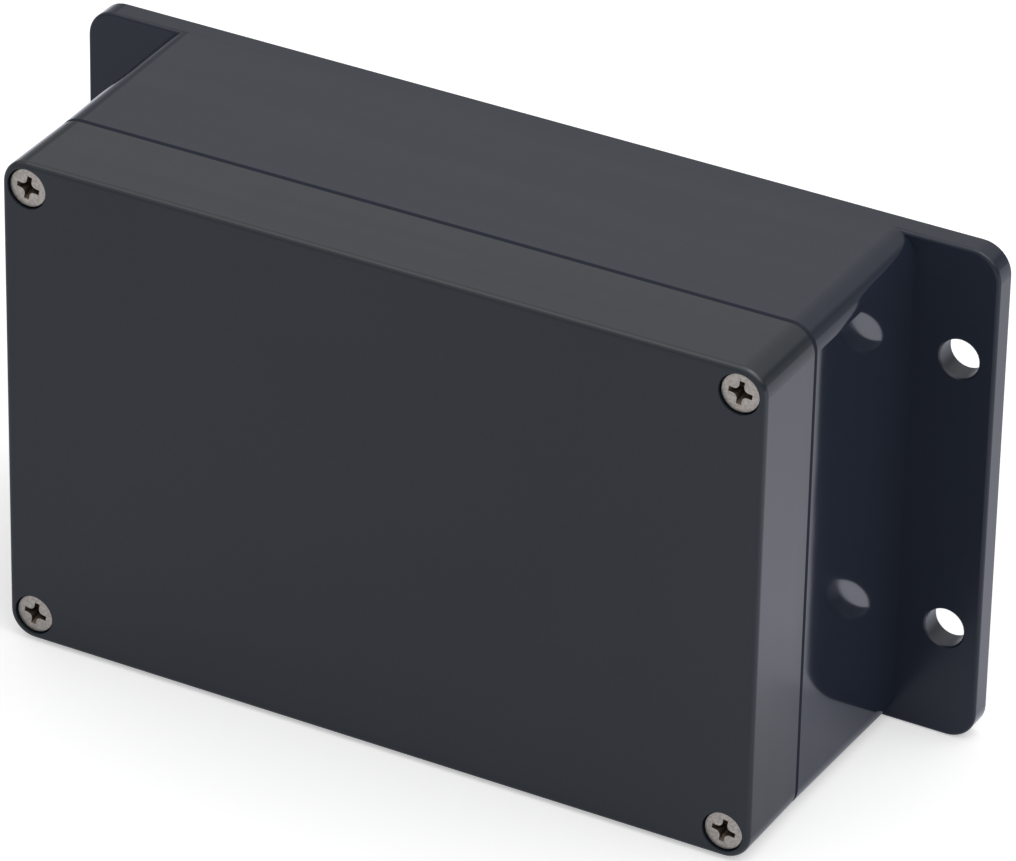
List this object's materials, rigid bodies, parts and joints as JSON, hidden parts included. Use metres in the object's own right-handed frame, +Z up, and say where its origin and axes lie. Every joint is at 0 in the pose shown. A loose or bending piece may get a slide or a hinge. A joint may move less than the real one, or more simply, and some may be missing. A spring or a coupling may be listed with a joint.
{
  "type": "plastic project box",
  "caption": "Flanged plastic enclosure for electronics with a deep screwed lid, rubber seal and mounting ears at both ends.",
  "frame": {"origin": "on the standing surface, below the middle of the whole box, ears included", "axes": "+X along the box's length, -Y out of the lid's face, +Y towards the wall that the flange is screwed to, +Z up with the box on its long side as in the picture"},
  "size_m": [0.122, 0.04, 0.0657],
  "materials": {
    "base_plastic": "dark blue-grey moulded ABS, satin, glossier on the side walls",
    "lid_plastic": "dark blue-grey moulded ABS, fine spark texture on its front",
    "gasket_rubber": "soft black sealing ring",
    "screw_steel": "plain stainless steel, turned head",
    "insert_brass": "bright turned brass"
  },
  "bodies": {
    "base": {"enclosure_base": "base_plastic", "thread_insert_top_left": "insert_brass", "thread_insert_top_right": "insert_brass", "thread_insert_bottom_left": "insert_brass", "thread_insert_bottom_right": "insert_brass"},
    "lid": {"enclosure_lid": "lid_plastic", "lid_gasket": "gasket_rubber"},
    "screw_top_left": {"lid_screw_top_left": "screw_steel"},
    "screw_top_right": {"lid_screw_top_right": "screw_steel"},
    "screw_bottom_left": {"lid_screw_bottom_left": "screw_steel"},
    "screw_bottom_right": {"lid_screw_bottom_right": "screw_steel"}
  },
  "joints": [
    {"name": "lid_lift", "type": "slide", "parent": "base", "child": "lid", "axis": [0, -1, 0], "range_m": [0, 0.03]},
    {"name": "screw_top_left_out", "type": "slide", "parent": "lid", "child": "screw_top_left", "axis": [0, -1, 0], "range_m": [0, 0.0081]},
    {"name": "screw_top_right_out", "type": "slide", "parent": "lid", "child": "screw_top_right", "axis": [0, -1, 0], "range_m": [0, 0.0081]},
    {"name": "screw_bottom_left_out", "type": "slide", "parent": "lid", "child": "screw_bottom_left", "axis": [0, -1, 0], "range_m": [0, 0.0081]},
    {"name": "screw_bottom_right_out", "type": "slide", "parent": "lid", "child": "screw_bottom_right", "axis": [0, -1, 0], "range_m": [0, 0.0081]}
  ]
}
